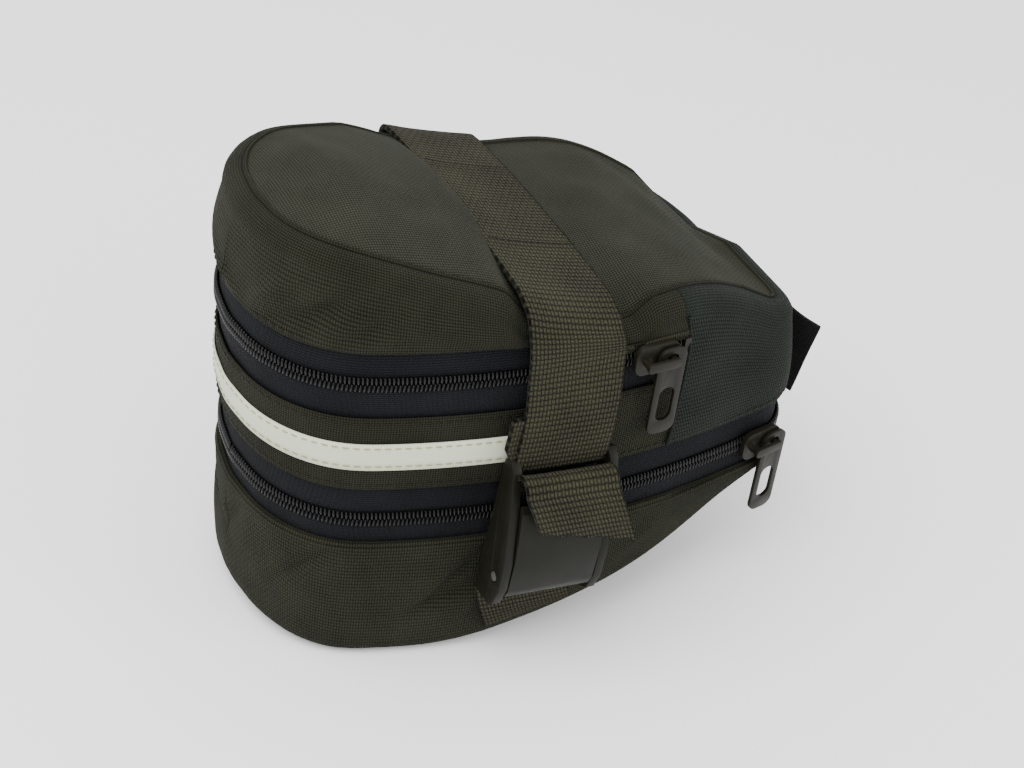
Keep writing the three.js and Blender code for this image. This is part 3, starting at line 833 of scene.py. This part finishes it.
def flap_piece(node, body, side):
    """One half of the hook-and-loop strap: a stiff double cloth that droops at its end. side is 1 for the far one.
    Also gives the length and width of the node, which for the far flap is wider than the cloth."""
    co = points_of(node)
    low, high = co[:, 2].min(), co[:, 2].max()
    root = co[np.abs(co[:, 1]) < np.abs(co[:, 1]).min() + 1.5 * MM][:, :2].mean(0)
    tip = co[co[:, 0] > co[:, 0].max() - 1.5 * MM][:, :2].mean(0)
    way = (tip - root) / np.hypot(*(tip - root))
    nrm = np.array([-way[1], way[0]]) * side
    length = float(np.hypot(*(tip - root)))
    top_edge = high - (FAR_FLAP_TRIM if side > 0 else 0)
    rows = []
    for t in np.linspace(0, 1, 15):
        bow = 1.1 * MM * math.sin(math.pi * t)
        row = []
        for v in np.linspace(0, 1, 19):
            reach = (length - 1.5 * MM) * t - 5 * MM * (1 - v) * t
            xy = root + way * reach + nrm * (bow + 0.35 * MM * math.sin(7 * v + 3 * t) * t)
            row.append((*xy, low + (top_edge - low) * v - 6.5 * MM * t))
        rows.append(row)
    obj = grid("flap_cloth_" + body[5:], rows, False, HOOK, 1.5 * MM,
               uv=lambda r: np.stack(np.meshgrid(np.linspace(0, high - low, 19), np.linspace(0, length, 15)), -1))
    obj.modifiers["cloth"].offset = 0
    return obj, length, high - low


for node, body, side in (("seatpost_flap_near", "flap_near", -1), ("seatpost_flap_far", "flap_far", 1)):
    flap, length, width = flap_piece(node, body, side)
    finish_piece(flap, body, [node])


# ---------------------------------------------------------------- hardware, from the frame's own shapes
def bevelled(node, body, material, width):
    """The CAD piece with its edges rounded."""
    obj = NODES[node].copy()
    obj.data = NODES[node].data.copy()
    for key in [k for k in obj.keys() if k.startswith("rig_")]:
        del obj[key]
    obj.name = node + "_finish"
    obj.parent = None
    obj.matrix_world = Matrix.Identity(4)
    bpy.context.collection.objects.link(obj)
    obj.data.materials.clear()
    obj.data.materials.append(material)
    weld = obj.modifiers.new("weld", "WELD")
    weld.merge_threshold = 1e-6
    bevel = obj.modifiers.new("edges", "BEVEL")
    bevel.width = width
    bevel.segments = 3
    bevel.limit_method = "ANGLE"
    bevel.angle_limit = math.radians(35)
    obj.data.polygons.foreach_set("use_smooth", [True] * len(obj.data.polygons))
    return finish_piece(obj, body, [node])


bevelled("buckle_frame", "middle", PLASTIC, 0.6 * MM)
bevelled("cam_lever", "lever", PLASTIC, 0.7 * MM)
for part in ("upper", "lower"):
    bevelled(part + "_slider", part + "_slider", METAL, 0.4 * MM)
    bevelled(part + "_pull_tab", part + "_tab", METAL, 0.3 * MM)
for node, material in (("buckle_pin", STEEL), ("upper_zip_stop_near", METAL), ("upper_zip_stop_far", METAL),
                       ("seatpost_anchor", HOOK)):
    NODES[node].data.materials.clear()
    NODES[node].data.materials.append(material)


# ---------------------------------------------------------------- stage, light and camera
def area(name, place, aim, size, power):
    """A rectangular soft light at a place, aimed at a point."""
    data = bpy.data.lights.new(name, "AREA")
    data.shape = "RECTANGLE"
    data.size, data.size_y = size
    data.energy = power
    lamp = bpy.data.objects.new(name, data)
    bpy.context.collection.objects.link(lamp)
    lamp.location = place
    lamp.rotation_euler = (Vector(aim) - Vector(place)).to_track_quat("-Z", "Y").to_euler()


floor = mesh_object("floor", [(-4, -4, -0.001), (4, -4, -0.001), (4, 4, -0.001), (-4, 4, -0.001)], [(0, 1, 2, 3)])
paper = Shader("paper", (0.93, 0.93, 0.93), 0.9)
floor.data.materials.append(paper.mat)
world = bpy.data.worlds.new("studio")
world.use_nodes = True
world.node_tree.nodes["Background"].inputs[0].default_value = (1, 1, 1, 1)
world.node_tree.nodes["Background"].inputs[1].default_value = 1.6
bpy.context.scene.world = world
BAG_MIDDLE = (0.05, 0, 0.07)
area("key", (-0.45, -0.15, 0.95), BAG_MIDDLE, (0.9, 0.9), 14)
area("side", (0.75, -0.7, 0.35), BAG_MIDDLE, (0.5, 0.5), 4)

# the camera stands at this angle from TARGET and looks a little to the right of it and above it
AZIMUTH, ELEVATION, ROLL = math.radians(-29.46), math.radians(37.31), math.radians(7.1)
DISTANCE, SENSOR, LENS = 0.710, 36, 75.656      # metres, then millimetres
AIM_RIGHT, AIM_UP = 19.697 * MM, 1.518 * MM
TARGET = Vector((0.040, 0, 0.060 + LIFT))
away = Vector((math.sin(AZIMUTH) * math.cos(ELEVATION), -math.cos(AZIMUTH) * math.cos(ELEVATION),
               math.sin(ELEVATION)))
level = Vector((math.cos(AZIMUTH), math.sin(AZIMUTH), 0))
upright = away.cross(level)
right = level * math.cos(ROLL) + upright * math.sin(ROLL)
up = upright * math.cos(ROLL) - level * math.sin(ROLL)
place = TARGET + away * DISTANCE
back = (place - (TARGET + right * AIM_RIGHT + up * AIM_UP)).normalized()
cross = up.cross(back).normalized()
over = back.cross(cross)
camera_data = bpy.data.cameras.new("camera")
camera_data.sensor_width = SENSOR
camera_data.lens = LENS
camera = bpy.data.objects.new("camera", camera_data)
bpy.context.collection.objects.link(camera)
camera.matrix_world = Matrix.Translation(place) @ Matrix((cross, over, back)).transposed().to_4x4()
bpy.context.scene.camera = camera
